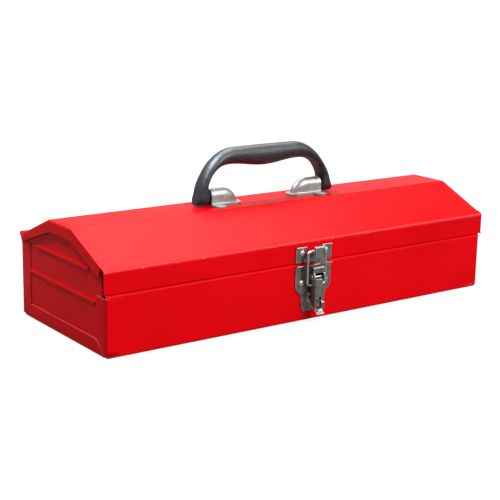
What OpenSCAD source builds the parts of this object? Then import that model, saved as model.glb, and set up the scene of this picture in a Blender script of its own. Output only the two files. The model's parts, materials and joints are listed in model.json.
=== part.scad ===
// Hip-roof steel tool box: folded base, gabled end panels, hinged lid, folding carry handle and draw latch.
// X runs along the box, the front faces -Y and Z is up. The origin is the middle of the underside.

/* [Box] */
// Length of the base over its folded end flaps
box_l = 406; // [380:1:430]
// Depth of the base, front face to back face
box_w = 146; // [142:1:150]
// Height of the front opening edge, where the lid meets the base
seam_z = 51; // [50:0.5:52]
// Thickness of the painted sheet
sheet_t = 0.8; // [0.7:0.1:0.9]

/* [Lid] */
// Height of the eaves, where the slopes start
eave_z = 71; // [70:0.5:72]
// Height of the flat top
ridge_z = 94; // [92:0.5:95]
// Width of the flat top between its two bends
top_w = 40; // [38:1:42]
// Depth of the folded rim over each end
rim_d = 10; // [8:0.5:11]

/* [Handle] */
// Height of the handle's pivots above the flat top
pivot_h = 8.4; // [8.4:0.1:9]
// How far the handle leans back from upright, in degrees
handle_lean = 4; // [0:1:6]
// Thickness of the stamped brackets
bracket_t = 1.5; // [1.2:0.1:1.6]

/* [Latch] */
// Thickness of the plated latch plates
plate_t = 1.2; // [1:0.1:1.2]
// Radius of the wire of the bail
wire_r = 1.2; // [1.1:0.05:1.2]
// Radius of the lever's fulcrum pin
fulcrum_r = 1.5; // [1.3:0.1:1.6]

/* [Hidden] */
$fn = 48;

// Running and standing clearances
run_gap = 0.06;
lid_gap = 0.4;
bend_r = 1.6;
hem_r = 0.44;

// The base
front_y = -box_w / 2;
back_y = box_w / 2;
wall_y = back_y - sheet_t / 2;
end_x = box_l / 2 - sheet_t;
flap_mid_x = box_l / 2 - sheet_t / 2;
lip_y = front_y + 2.4;
lip_top_z = seam_z + 7.6;
lip_x = end_x + 0.4;
wall_top_z = eave_z - 2.6;
flap_reach = 15.5;
bottom_flap_h = 13;
front_flap_top_z = seam_z - 2.5;
back_flap_top_z = eave_z - 5;
flap_mitre = [[68, 1], [57.5, bottom_flap_h]];

// The roof line that the lid and the gabled ends share
roof_slope = (ridge_z - eave_z) / (box_w / 2 - top_w / 2);
slope_len = sqrt(1 + roof_slope * roof_slope);
slope_dir = [-1, roof_slope] / slope_len;
slope_out = [roof_slope, 1] / slope_len;
function roof_z(y, inside) =
    min(ridge_z - inside, ridge_z - (abs(y) - top_w / 2) * roof_slope - inside * slope_len);
function flat_half(inside) = top_w / 2 - inside * (slope_len - 1) / roof_slope;

// The lid
lid_in_x = box_l / 2 + 1;
lid_out_x = lid_in_x + sheet_t;
lid_edge_z = seam_z + 0.7;
lid_hem_h = 5.4;
// The rim over each end starts behind the front eave, top and bottom, and leaves the corner open
rim_front_y = [-67.6, -64.2];
rim_back_y = [71.6, 69.6];

// The hinge along the back eave: both leaves lie inside the sheets
barrel_r = 2.3;
hinge_pin_r = 1.3;
leaf_t = 0.9;
leaf_w = 14;
hinge_y = back_y + 0.6;
hinge_z = eave_z + 0.39;
knuckles = 17;
hinge_l = box_l;
knuckle_l = hinge_l / knuckles;
knuckle_gap = 0.25;
barrel_clear = barrel_r + 0.35;
leaf_x = end_x - sheet_t - 0.3;

// The gabled end panels: they stop short of the base sheet's bends. In front they end under the base's flap,
// and their top front corner is cut off
panel_y = back_y - sheet_t / 2 - bend_r - 0.05;
panel_foot_z = sheet_t / 2 + bend_r + 0.05;
panel_roof_in = sheet_t + lid_gap;
panel_lip_w = 6;
panel_front_y = -65.5;
corner_cut = [-61.4, eave_z - 9];
bead_proud = 1.4;
bead_half_w = 2.6;
bead_r = (bead_half_w * bead_half_w + bead_proud * bead_proud) / (2 * bead_proud);
beads = [[66.3, 44], [42, 55]];

// The handle and its brackets
pivot_z = ridge_z + pivot_h;
mouth_x = 61.4;
dome_r = 6.3;
pivot_r = dome_r - bracket_t - run_gap;
dome_end_x = 31.6;
lobe_r = 5.4;
lobe_at = [55.8, 13];
tongue_r = 8.6;
tongue_x = 36.1;
pivot_in_x = 46;
swing_r = 8.1;
leg_depth = 7.9;
strap_t = 2.4;
strap_half = 4.5;

// The latch
latch_half = 19.3;
keeper_z = [52.3, 66.3];
ear_in_x = 8.6;
tongue_half = 5.2;
plate_out_y = front_y - plate_t;
fulcrum = [front_y - 6.2, 39.5];
bail_pin = fulcrum + [1, -6.9];
bail_half = 9.6;
bail_top_z = 62;
bail_bend_r = 2.6;
lever_half = 4.6;
lever_t = 1;
lever_y = front_y - 10;
lug_x = 4.9;
lug_t = 0.9;
lug_r = 4;
housing_half = lug_x + lug_t;
housing_y = front_y - 8.8;
housing_z = [43.6, 48.6];
hook_shelf_z = 59.8;
hook_crest = [front_y - 7.9, 66.4];
hook_face_y = front_y - 9.9;
staple_half = 1.5;
staple_z = [13.4, 20.4];
staple_y = front_y - 15.6;
slot_half = 2.5;
slot_z = [10.6, 22];
rivet_x = 13;
base_rivet_z = 34;
keeper_rivet_z = 60.6;
keeper_bar_z = 60.4;
rivet_shank_r = 1.5;

// ---- helpers ----

module along_x(x0, x1) translate([x0, 0, 0]) rotate([90, 0, 90]) linear_extrude(x1 - x0) children();
module along_y(y0, y1) translate([0, y1, 0]) rotate([90, 0, 0]) linear_extrude(y1 - y0) children();
module along_z(z0, z1) translate([0, 0, z0]) linear_extrude(z1 - z0) children();
module both_ends() {
    children();
    mirror([1, 0, 0]) children();
}

function unit(v) = v / norm(v);
function left_of(v) = [-v[1], v[0]];
function turned(v, a) = [v[0] * cos(a) - v[1] * sin(a), v[0] * sin(a) + v[1] * cos(a)];
function reversed(list) = [for (i = [len(list) - 1:-1:0]) list[i]];

// Points of one bend of a sheet, on the line that lies side to the left of the centreline
function bend(p0, p1, p2, r, side, steps) =
    let (
        d0 = unit(p1 - p0),
        d1 = unit(p2 - p1),
        turn = atan2(cross(d0, d1), d0 * d1),
        way = sign(turn),
        centre = p1 - d0 * r * tan(abs(turn) / 2) + left_of(d0) * way * r
    )
    [for (k = [0:steps]) centre - turned(left_of(d0) * way, turn * k / steps) * (r - way * side)];

// One side of a folded sheet. Each path point is [across, up, bend radius of the centreline]
function sheet_side(path, side, steps) =
    let (
        p = [for (q = path) [q[0], q[1]]],
        n = len(p)
    )
    concat(
        [p[0] + left_of(unit(p[1] - p[0])) * side],
        [for (i = [1:n - 2]) each bend(p[i - 1], p[i], p[i + 1], path[i][2], side, steps)],
        [p[n - 1] + left_of(unit(p[n - 1] - p[n - 2])) * side]
    );

// Closed outline of a folded sheet of thickness t along its centreline
module folded(path, t, steps = 5)
    polygon(concat(sheet_side(path, t / 2, steps), reversed(sheet_side(path, -t / 2, steps))));

// A rivet along +Z with its seat at z 0: head above, shank and formed tail below
module rivet(head_r, head_h, grip, tail_r = 2.4, tail_h = 0.8)
    rotate_extrude()
        polygon(concat(
            [[0, head_h]],
            [for (a = [75:-15:15]) [head_r * cos(a), head_h * sin(a)]],
            [[head_r, 0], [rivet_shank_r, 0], [rivet_shank_r, -grip], [tail_r, -grip],
             [tail_r - 0.4, -grip - tail_h], [0, -grip - tail_h]]
        ));

// Rivet hole along Z
module rivet_hole(depth) translate([0, 0, -depth / 2]) cylinder(r = rivet_shank_r + run_gap, h = depth);

// Points the children's +Z axis out of the front of the box
module on_front(x, y, z) translate([x, y, z]) rotate([90, 0, 0]) children();

// ---- base ----

// The hemmed lip behind the lid's rim, and the shoulder that the lid closes on
lip_path = [
    [lip_y + 1.2, lip_top_z - 5, 0],
    [lip_y + 1.2, lip_top_z, hem_r + 0.1],
    [lip_y, lip_top_z, hem_r + 0.1],
    [lip_y, seam_z + 0.6, 1.2],
    [front_y + sheet_t / 2, seam_z - 1.4, 1.2]
];
body_path = concat(lip_path, [
    [front_y + sheet_t / 2, sheet_t / 2, bend_r],
    [wall_y, sheet_t / 2, bend_r],
    [wall_y, wall_top_z, 0]
]);

module end_flaps() {
    intersection() {
        along_y(-box_w / 2, box_w / 2)
            folded([[end_x - 3, sheet_t / 2, 0], [flap_mid_x, sheet_t / 2, bend_r],
                    [flap_mid_x, bottom_flap_h, 0]], sheet_t);
        along_x(end_x - 5, box_l / 2 + 1)
            polygon([[-flap_mitre[0][0], -1], [flap_mitre[0][0], -1], flap_mitre[0], flap_mitre[1],
                     [-flap_mitre[1][0], flap_mitre[1][1]], [-flap_mitre[0][0], flap_mitre[0][1]]]);
    }
    for (side = [-1, 1])
        intersection() {
            along_z(0, eave_z)
                folded([[end_x - 3, side * wall_y, 0], [flap_mid_x, side * wall_y, bend_r],
                        [flap_mid_x, side * (back_y - flap_reach), 0]], sheet_t);
            along_x(end_x - 5, box_l / 2 + 1)
                scale([side, 1])
                    polygon([[back_y + 1, 2.2], [flap_mitre[0][0] + 0.9, 2.2], [flap_mitre[0][0] + 0.4, 2.2],
                             [flap_mitre[1][0], bottom_flap_h + 1.4],
                             [back_y - flap_reach - 1, bottom_flap_h + 2.4],
                             [back_y - flap_reach - 1, (side < 0 ? front_flap_top_z : back_flap_top_z) - 0.8],
                             [back_y + 1, side < 0 ? front_flap_top_z : back_flap_top_z]]);
        }
}

module latch_rivet_holes(z, y) for (x = [-rivet_x, rivet_x]) on_front(x, y, z) rivet_hole(6);

module body_shell() color("red") difference() {
    union() {
        along_x(-end_x + bend_r, end_x - bend_r) folded(body_path, sheet_t);
        along_x(-lip_x, lip_x)
            folded(concat(lip_path, [[front_y + sheet_t / 2, front_flap_top_z + 0.1, 0]]), sheet_t);
        both_ends() end_flaps();
    }
    latch_rivet_holes(base_rivet_z, front_y);
}

function panel_outline() = let (
    y = panel_y,
    in = panel_roof_in,
    leaf_in = in + leaf_t + 0.5,
    step_y = back_y - leaf_w - 3
) [
    [panel_front_y + 1, panel_foot_z], [y - 1, panel_foot_z], [y, panel_foot_z + 1], [y, eave_z - 4],
    [y - 3, roof_z(y - 3, leaf_in)], [step_y, roof_z(step_y, leaf_in)], [step_y, roof_z(step_y, in)],
    [flat_half(in), ridge_z - in], [-flat_half(in), ridge_z - in],
    [corner_cut[0], roof_z(corner_cut[0], in)], [panel_front_y, corner_cut[1]],
    [panel_front_y, panel_foot_z + 1]
];

// Safe edge folded in along the roof line
function panel_lip_path() = let (in = panel_roof_in + sheet_t / 2) [
    [corner_cut[0] + 2.2, roof_z(corner_cut[0] + 2.2, in), 0], [-flat_half(in), ridge_z - in, bend_r],
    [flat_half(in), ridge_z - in, bend_r], [back_y - leaf_w - 4, roof_z(back_y - leaf_w - 4, in), 0]
];

module bead(z, half, r) {
    translate([end_x + bead_proud - bead_r, -half, z]) rotate([-90, 0, 0]) cylinder(r = r, h = 2 * half);
    for (side = [-1, 1]) translate([end_x + bead_proud - bead_r, side * half, z]) sphere(r = r);
}

module end_panel() color("firebrick") difference() {
    union() {
        along_x(end_x - sheet_t, end_x) polygon(panel_outline());
        along_x(end_x - panel_lip_w, end_x) folded(panel_lip_path(), sheet_t);
        intersection() {
            union() for (b = beads) bead(b[0], b[1], bead_r);
            translate([end_x - sheet_t, -box_w / 2, 0]) cube([5, box_w, ridge_z]);
        }
    }
    for (b = beads) bead(b[0], b[1], bead_r - sheet_t);
}

// ---- hinge ----

function is_body_knuckle(i) = i % 2 == 0;
function knuckle_x(i) = -hinge_l / 2 + i * knuckle_l + knuckle_gap / 2;

// Knuckles numbered first, first + 2 and so on, each a tube with a strap that joins it to its leaf
module hinge_half(first, leaf_half) {
    difference() {
        union() {
            for (i = [first:2:knuckles - 1])
                translate([knuckle_x(i), hinge_y, hinge_z]) rotate([0, 90, 0])
                    cylinder(r = barrel_r, h = knuckle_l - knuckle_gap);
            for (i = [first:2:knuckles - 1])
                along_x(max(knuckle_x(i), -leaf_half), min(knuckle_x(i) + knuckle_l - knuckle_gap, leaf_half))
                    children(0);
            along_x(-leaf_half, leaf_half) children(1);
        }
        translate([-box_l, hinge_y, hinge_z]) rotate([0, 90, 0])
            cylinder(r = hinge_pin_r + run_gap, h = 2 * box_l);
    }
}

module hinge_body_leaf() color("red") {
    inner_y = back_y - sheet_t - leaf_t;
    hinge_half(0, leaf_x) {
        translate([inner_y, hinge_z - barrel_clear - 1]) square([leaf_t, barrel_clear + 1]);
        translate([inner_y, hinge_z - leaf_w]) square([leaf_t, leaf_w - barrel_clear]);
    }
}

// A strip of the lid leaf, from along0 to along1 up the slope from the barrel, under the lid sheet
module lid_leaf_strip(along0, along1) {
    top = [hinge_y, hinge_z] - slope_out * (barrel_r - leaf_t);
    low = [hinge_y, hinge_z] - slope_out * barrel_r;
    polygon([
        top + slope_dir * along0, top + slope_dir * along1,
        low + slope_dir * along1, low + slope_dir * along0
    ]);
}

module hinge_lid_leaf() color("red")
    hinge_half(1, leaf_x) {
        lid_leaf_strip(0, barrel_clear + 1);
        lid_leaf_strip(barrel_clear, leaf_w);
    }

module hinge_pin() color("silver")
    translate([-hinge_l / 2 + 0.6, hinge_y, hinge_z]) rotate([0, 90, 0])
        cylinder(r = hinge_pin_r, h = hinge_l - 1.2);

// ---- lid ----

function lid_path() = let (
    mid = sheet_t / 2,
    front = front_y + mid,
    tail = [hinge_y, hinge_z] - slope_out * (barrel_r - leaf_t - mid) + slope_dir * (barrel_clear + 0.2)
) [
    [front + 0.95, lid_edge_z + lid_hem_h, 0],
    [front + 0.95, lid_edge_z + mid, hem_r],
    [front, lid_edge_z + mid, hem_r],
    [front, roof_z(front, mid), 2],
    [-flat_half(mid), ridge_z - mid, 2.4],
    [flat_half(mid), ridge_z - mid, 2.4],
    [tail[0], tail[1], 0]
];

module lid_rim() along_x(lid_in_x, lid_out_x) polygon([
    [rim_front_y[0], roof_z(rim_front_y[0], sheet_t / 2)],
    [-flat_half(0.4), ridge_z - 0.4], [flat_half(0.4), ridge_z - 0.4],
    [rim_back_y[0], roof_z(rim_back_y[0], 0.4)], [rim_back_y[0], roof_z(rim_back_y[0], 0.4) - 2.6],
    [rim_back_y[1], roof_z(rim_back_y[1], rim_d * 0.66)],
    [flat_half(rim_d), ridge_z - rim_d], [-flat_half(rim_d), ridge_z - rim_d],
    [rim_front_y[1], roof_z(rim_front_y[1], rim_d)]
]);

module bracket_rivet_places()
    for (side = [-1, 1]) translate([lobe_at[0], side * lobe_at[1], ridge_z]) children();

module lid_shell() color("red") difference() {
    union() {
        along_x(-lid_out_x, lid_out_x) folded(lid_path(), sheet_t);
        both_ends() lid_rim();
    }
    both_ends() bracket_rivet_places() rivet_hole(6);
    latch_rivet_holes(keeper_rivet_z, front_y);
}

// ---- handle brackets ----

module bracket_flange_outline() {
    translate([lobe_at[0] - lobe_r, -lobe_at[1]]) square([2 * lobe_r, 2 * lobe_at[1]]);
    for (side = [-1, 1]) translate([lobe_at[0], side * lobe_at[1]]) circle(r = lobe_r);
    translate([tongue_x, -tongue_r]) square([lobe_at[0] - tongue_x, 2 * tongue_r]);
    translate([tongue_x, 0]) circle(r = tongue_r);
}

// The dome's outside, or its inside where inset is the sheet's thickness: an arch whose closed end is rounded
// both from above and from the side
module dome(inset) intersection() {
    along_x(dome_end_x + inset, mouth_x + (inset > 0 ? 1 : 0)) {
        translate([inset - dome_r, ridge_z - 1]) square([2 * (dome_r - inset), pivot_h + 1]);
        translate([0, pivot_z]) circle(r = dome_r - inset);
    }
    along_z(ridge_z - 1, pivot_z + dome_r + 1) {
        translate([dome_end_x + dome_r, 0]) circle(r = dome_r - inset);
        translate([dome_end_x + dome_r, -dome_r]) square([40, 2 * dome_r]);
    }
    along_y(-dome_r, dome_r) {
        translate([dome_end_x + pivot_h + dome_r, ridge_z]) circle(r = pivot_h + dome_r - inset);
        translate([dome_end_x + pivot_h + dome_r, ridge_z - 2]) square([40, 2 * pivot_h + 9]);
    }
}

module handle_bracket() color("gainsboro") difference() {
    union() {
        along_z(ridge_z, ridge_z + bracket_t) bracket_flange_outline();
        intersection() {
            dome(0);
            translate([0, -dome_r, ridge_z]) cube([mouth_x, 2 * dome_r, pivot_h + dome_r]);
        }
    }
    dome(bracket_t);
    bracket_rivet_places() rivet_hole(6);
}

module bracket_rivets() color("silver")
    bracket_rivet_places() translate([0, 0, bracket_t]) rivet(3, 0.9, bracket_t + sheet_t);

// ---- handle ----

// Points of a cubic curve with the control points a, b, c, d
function cubic(a, b, c, d, s) =
    pow(1 - s, 3) * a + 3 * pow(1 - s, 2) * s * b + 3 * (1 - s) * s * s * c + pow(s, 3) * d;

// The outer and inner outline of half the handle: s is 0 at the foot, 1 at the shoulder and 2 in the middle
foot_z = pivot_z - 6.4;
crown_z = 143.3;
shoulder_out = 32.5;
shoulder_in = 36.8;
shoulder_z = 128;
palm_z = 124.7;
// The feet widen round the pivots, most of all towards the brackets
function foot_flare(s, reach, run) = s < run ? reach * pow(cos(90 * s / run), 2) : 0;
function outer_line(s) = s < 1
    ? cubic([73.4, foot_z], [72, 120], [54.5, crown_z - 0.2], [shoulder_out, crown_z - 0.2], s)
        + [foot_flare(s, 1.4, 0.16), 0]
    : [shoulder_out * (2 - s), crown_z - 0.2 * pow(2 - s, 2)];
function inner_line(s) = s < 1
    ? cubic([67.8, foot_z], [61.3, 124], [49.5, shoulder_z], [shoulder_in, shoulder_z], s)
        - [foot_flare(s, 5.4, 0.24), 0]
    : [shoulder_in * (2 - s), palm_z + (shoulder_z - palm_z) * (1 + cos(180 * (s - 1))) / 2];
// Half the depth front to back; below the pivots it stays inside the circle that the feet swing in
function grip_depth(s) = let (
    below = max(0, pivot_z - min(outer_line(s)[1], inner_line(s)[1]))
) min(leg_depth + 0.6 * pow(min(s, 1), 2), sqrt(swing_r * swing_r - below * below));

ring_sides = 20;
leg_rings = 14;
bar_rings = 8;
function half_stations() = concat(
    [0, 0.018, 0.04],
    [for (k = [1:leg_rings - 1]) k / leg_rings],
    [for (k = [0:bar_rings]) 1 + k / bar_rings]
);
// A rounded ring of the grip at station s on one side of the handle; squareness over 2 flattens its sides
function grip_ring(s, side, shrink) = let (
    out = outer_line(s),
    in = inner_line(s),
    mid = (out + in) / 2 - [0, shrink < 1 ? 0.6 : 0],
    half = norm(out - in) / 2 * shrink,
    dir = unit(out - in),
    depth = grip_depth(s) * shrink,
    power = 2 / 2.6
) [for (k = [0:ring_sides - 1]) let (
    a = 360 * k / ring_sides,
    c = sign(cos(a)) * pow(abs(cos(a)), power) * half,
    d = sign(sin(a)) * pow(abs(sin(a)), power) * depth,
    p = mid + dir * c
) [side * p[0], -d, p[1]]];

function grip_rings() = concat(
    [grip_ring(0, 1, 0.8)],
    [for (s = half_stations()) grip_ring(s, 1, 1)],
    [for (s = reversed(half_stations())) if (s < 2) grip_ring(s, -1, 1)],
    [grip_ring(0, -1, 0.8)]
);

// Skins a list of rings of equal size
module skinned(rings, sides) {
    n = len(rings);
    polyhedron(
        points = [for (r = rings) each r],
        faces = concat(
            [[for (k = [0:sides - 1]) k]],
            [for (i = [0:n - 2], k = [0:sides - 1]) each [
                [i * sides + k, (i + 1) * sides + k, i * sides + (k + 1) % sides],
                [i * sides + (k + 1) % sides, (i + 1) * sides + k, (i + 1) * sides + (k + 1) % sides]
            ]],
            [[for (k = [sides - 1:-1:0]) (n - 1) * sides + k]]
        )
    );
}

// Tips the upright handle back about its pivots
module leaned()
    translate([0, 0, pivot_z]) rotate([-handle_lean, 0, 0]) translate([0, 0, -pivot_z]) children();

// Strip of steel along the middle of the grip
module core_strap() along_y(-strap_half, strap_half) folded([
    [-69.6, pivot_z - 3.6, 0], [-66, 119, 18], [-47, 135.4, 16], [47, 135.4, 16], [66, 119, 18],
    [69.6, pivot_z - 3.6, 0]
], strap_t);

module pivot_stub(r, x0) both_ends()
    translate([x0, 0, pivot_z]) rotate([0, 90, 0]) cylinder(r = r, h = 69 - x0);

module handle_grip() color("dimgray") leaned() difference() {
    skinned(grip_rings(), ring_sides);
    core_strap();
    pivot_stub(pivot_r + run_gap, 60);
}

// Steel strap moulded into the grip, with its ends turned in as round pivots
module handle_core() color("silver") leaned() {
    core_strap();
    pivot_stub(pivot_r, pivot_in_x);
}

// ---- latch ----

module base_plate_outline() polygon([
    [-10.4, 8.6], [10.4, 8.6], [11.6, 9.8], [13.6, 24], [latch_half, 29.6], [latch_half, seam_z - 2.2],
    [-latch_half, seam_z - 2.2], [-latch_half, 29.6], [-13.6, 24], [-11.6, 9.8]
]);

module fulcrum_lug() difference() {
    along_x(lug_x, housing_half) {
        translate(fulcrum) circle(r = lug_r);
        translate([fulcrum[0], fulcrum[1] - lug_r]) square([front_y - 0.4 - fulcrum[0], 2 * lug_r]);
        translate([housing_y, housing_z[0]])
            square([front_y - 0.4 - housing_y, housing_z[1] - housing_z[0]]);
        translate([fulcrum[0], fulcrum[1]]) square([front_y - 0.4 - fulcrum[0], housing_z[1] - fulcrum[1]]);
    }
    translate([0, fulcrum[0], fulcrum[1]]) rotate([0, 90, 0]) cylinder(r = fulcrum_r + run_gap, h = 20);
}

module latch_base_plate() color("gray") {
    difference() {
        union() {
            along_y(plate_out_y, front_y) base_plate_outline();
            along_x(-latch_half, latch_half)
                folded([[front_y - plate_t / 2, 40, 0], [front_y - plate_t / 2, seam_z - 1.8, 0.8],
                        [front_y - 2.9, seam_z - 1.8, 0]], plate_t);
        }
        latch_rivet_holes(base_rivet_z, front_y);
    }
    both_ends() fulcrum_lug();
    // Raised middle that closes the lugs off above the lever
    along_x(-housing_half, housing_half)
        folded([[front_y - plate_t / 2, housing_z[1], 0], [housing_y, housing_z[1], 1],
                [housing_y, housing_z[0], 0]], plate_t);
    // Padlock staple, lanced out of the plate and standing through the lever's slot
    along_x(-staple_half, staple_half)
        folded([[front_y - 0.6, staple_z[0] + 0.6, 0], [staple_y + 0.6, staple_z[0] + 0.6, 1.2],
                [staple_y + 0.6, staple_z[1] - 0.6, 1.2], [front_y - 0.6, staple_z[1] - 0.6, 0]], plate_t);
}

module latch_base_rivets() color("silver")
    for (x = [-rivet_x, rivet_x])
        on_front(x, plate_out_y, base_rivet_z) rivet(3.2, 1.5, plate_t + sheet_t);

module latch_fulcrum_pin() color("silver") translate([0, fulcrum[0], fulcrum[1]]) rotate([0, 90, 0]) {
    reach = housing_half + 0.1;
    translate([0, 0, -reach]) cylinder(r = fulcrum_r, h = 2 * reach);
    for (side = [-1, 1]) translate([0, 0, side < 0 ? -reach - 0.8 : reach]) cylinder(r = 2.5, h = 0.8);
}

module keeper_outline() {
    translate([-latch_half, keeper_z[0]]) square([2 * latch_half, keeper_bar_z - keeper_z[0]]);
    for (x = [-latch_half, ear_in_x])
        translate([x, keeper_z[0]]) square([latch_half - ear_in_x, keeper_z[1] - 1.6 - keeper_z[0]]);
}

module latch_keeper() color("gray") difference() {
    union() {
        along_y(plate_out_y, front_y) keeper_outline();
        both_ends() along_x(ear_in_x, latch_half)
            folded([[front_y - plate_t / 2, 58, 0], [front_y - plate_t / 2, keeper_z[1] - 0.6, 0.8],
                    [front_y - 2.5, keeper_z[1] - 0.6, 0]], plate_t);
        // Hook: a tongue folded out as a shelf, up in front of the bail, and down again over its own front
        along_x(-tongue_half, tongue_half)
            folded([[front_y - plate_t / 2, 56, 0], [front_y - plate_t / 2, hook_shelf_z, 1],
                    [hook_crest[0], hook_shelf_z, 1], [hook_crest[0], hook_crest[1], 0.8],
                    [hook_face_y + 0.3, hook_crest[1], 0.8], [hook_face_y, 52.6, 0]], plate_t);
    }
    latch_rivet_holes(keeper_rivet_z, front_y);
}

module latch_keeper_rivets() color("silver")
    for (x = [-rivet_x, rivet_x])
        on_front(x, plate_out_y, keeper_rivet_z) rivet(2.8, 1.3, plate_t + sheet_t);

module lever_side() difference() {
    along_x(lever_half - lever_t, lever_half) polygon([
        [lever_y + 0.5, fulcrum[1] + 1.6], [fulcrum[0] + 2.6, fulcrum[1] + 1.6],
        [fulcrum[0] + 3, fulcrum[1] - 1],
        [fulcrum[0] + 3, bail_pin[1] - 2.4], [lever_y + 5, 22], [lever_y + 4.4, 14], [lever_y + 2.6, 12.5],
        [lever_y + 0.5, 12.5]
    ]);
    translate([0, fulcrum[0], fulcrum[1]]) rotate([0, 90, 0]) cylinder(r = fulcrum_r + run_gap, h = 20);
    translate([0, bail_pin[0], bail_pin[1]]) rotate([0, 90, 0]) cylinder(r = wire_r + run_gap, h = 20);
}

module latch_lever() color("gray") {
    difference() {
        union() {
            along_x(-lever_half, lever_half)
                folded([[lever_y + 2.4, fulcrum[1] + 1.3, 0], [lever_y + 0.5, fulcrum[1] + 1.3, 0.8],
                        [lever_y + 0.5, 15, 0]], lever_t);
            along_x(-lever_half - 0.6, lever_half + 0.6)
                folded([[lever_y + 0.5, 15.4, 0], [lever_y + 0.5, 11, 3], [lever_y - 2.6, 7.4, 0]], lever_t);
        }
        translate([-slot_half, lever_y - 2, slot_z[0]]) cube([2 * slot_half, 6, slot_z[1] - slot_z[0]]);
    }
    both_ends() lever_side();
}

// Quarter turn of wire between two straights in the plane of the bail
module wire_corner(at, from) translate([at[0], bail_pin[0], at[1]]) rotate([90, 0, 0]) rotate([0, 0, from])
    rotate_extrude(angle = 90) translate([bail_bend_r, 0]) circle(r = wire_r);

module latch_bail() color("silver") both_ends() {
    side_in = bail_half - bail_bend_r;
    translate([3.1, bail_pin[0], bail_pin[1]]) rotate([0, 90, 0]) cylinder(r = wire_r, h = side_in - 3.1);
    wire_corner([side_in, bail_pin[1] + bail_bend_r], -90);
    translate([bail_half, bail_pin[0], bail_pin[1] + bail_bend_r])
        cylinder(r = wire_r, h = bail_top_z - bail_pin[1] - 2 * bail_bend_r);
    wire_corner([side_in, bail_top_z - bail_bend_r], 0);
    translate([0, bail_pin[0], bail_top_z]) rotate([0, 90, 0]) cylinder(r = wire_r, h = side_in);
}

// ---- nodes ----

body_shell();
mirror([1, 0, 0]) end_panel();  // left_end_panel
end_panel();  // right_end_panel
hinge_body_leaf();
latch_base_plate();
latch_base_rivets();
latch_fulcrum_pin();
lid_shell();
hinge_lid_leaf();
hinge_pin();
latch_keeper();
latch_keeper_rivets();
mirror([1, 0, 0]) handle_bracket();  // left_handle_bracket
handle_bracket();  // right_handle_bracket
mirror([1, 0, 0]) bracket_rivets();  // left_bracket_rivets
bracket_rivets();  // right_bracket_rivets
handle_grip();
handle_core();
latch_lever();
latch_bail();
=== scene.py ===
"""Looks of a hip-roof steel tool box: painted sheet, plated brackets and draw latch, moulded handle.

Lengths are millimetres until a mesh is made. A sheet's section is drawn in (y, z) and runs along x.
"""

import json
import math

import bmesh
import bpy
from mathutils import Matrix, Vector


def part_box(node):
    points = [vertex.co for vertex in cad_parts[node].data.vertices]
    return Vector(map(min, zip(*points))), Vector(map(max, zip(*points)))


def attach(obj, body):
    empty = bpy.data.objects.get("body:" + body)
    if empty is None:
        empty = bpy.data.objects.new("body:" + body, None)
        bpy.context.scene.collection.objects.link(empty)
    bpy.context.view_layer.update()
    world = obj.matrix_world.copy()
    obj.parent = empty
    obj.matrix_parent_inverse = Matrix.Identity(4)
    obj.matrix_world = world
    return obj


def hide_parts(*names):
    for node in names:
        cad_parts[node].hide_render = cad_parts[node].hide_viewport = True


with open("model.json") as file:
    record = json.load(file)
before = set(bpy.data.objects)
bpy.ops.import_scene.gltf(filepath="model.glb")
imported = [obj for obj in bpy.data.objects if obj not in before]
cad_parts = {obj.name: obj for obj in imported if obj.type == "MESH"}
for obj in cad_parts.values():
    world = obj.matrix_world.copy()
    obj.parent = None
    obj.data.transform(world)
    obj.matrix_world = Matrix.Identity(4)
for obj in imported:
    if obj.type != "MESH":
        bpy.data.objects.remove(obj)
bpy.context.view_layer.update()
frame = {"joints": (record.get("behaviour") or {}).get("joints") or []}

MM = 0.001


# ---- places, from the frame ----

def box(node):
    """Lowest and highest corner of a CAD node, in millimetres."""
    low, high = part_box(node)
    return low / MM, high / MM


def pivot(joint_name):
    """(y, z) of a joint whose axis runs along x, in millimetres."""
    joint = next(j for j in frame["joints"] if j["name"] == joint_name)
    return Vector((joint["pos_m"][1], joint["pos_m"][2])) / MM


SHELL_LOW, SHELL_HIGH = box("body_shell")
LID_LOW, LID_HIGH = box("lid_shell")
FRONT, BACK = SHELL_LOW.y, SHELL_HIGH.y
END = SHELL_HIGH.x
LID_END = LID_HIGH.x
RIDGE = LID_HIGH.z
LID_EDGE = LID_LOW.z
SHEET = 0.8
BEND = 1.6
# The base and lid sheets are drawn this thick, a little under their real thickness, to stay inside the CAD
SKIN = 0.76
HINGE = pivot("lid_hinge")
HANDLE = pivot("handle_fold")
FULCRUM = pivot("lever_swing")
BAIL = pivot("bail_swing")

# The roof line
EAVE = 71.0
FLAT_HALF = 20.0
SLOPE = (RIDGE - EAVE) / (BACK - FLAT_HALF)
SLOPE_LEN = math.hypot(1, SLOPE)
SLOPE_DIR = Vector((-1, SLOPE)) / SLOPE_LEN
SLOPE_OUT = Vector((SLOPE, 1)) / SLOPE_LEN


def roof_z(y, inside):
    """Height of the roof at y, on the line that lies inside by the given distance."""
    slope_z = RIDGE - (abs(y) - FLAT_HALF) * SLOPE - inside * SLOPE_LEN
    return min(RIDGE - inside, slope_z)


def flat_half(inside):
    return FLAT_HALF - inside * (SLOPE_LEN - 1) / SLOPE


# ---- drawing helpers ----

# Lengths under this count as nothing
TINY = 1e-6
# Two points this far apart keep a cut in a sheet crisp
CUT = 0.12
# Points closer than this become one
WELD = 0.002


def lerp(a, b, t):
    return a + (b - a) * t


def interp(x, xs, ys):
    """Value at x on the broken line through (xs, ys), level beyond its ends."""
    if x <= xs[0]:
        return ys[0]
    for x0, x1, y0, y1 in zip(xs, xs[1:], ys, ys[1:]):
        if x <= x1:
            return lerp(y0, y1, (x - x0) / (x1 - x0))
    return ys[-1]


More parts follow.
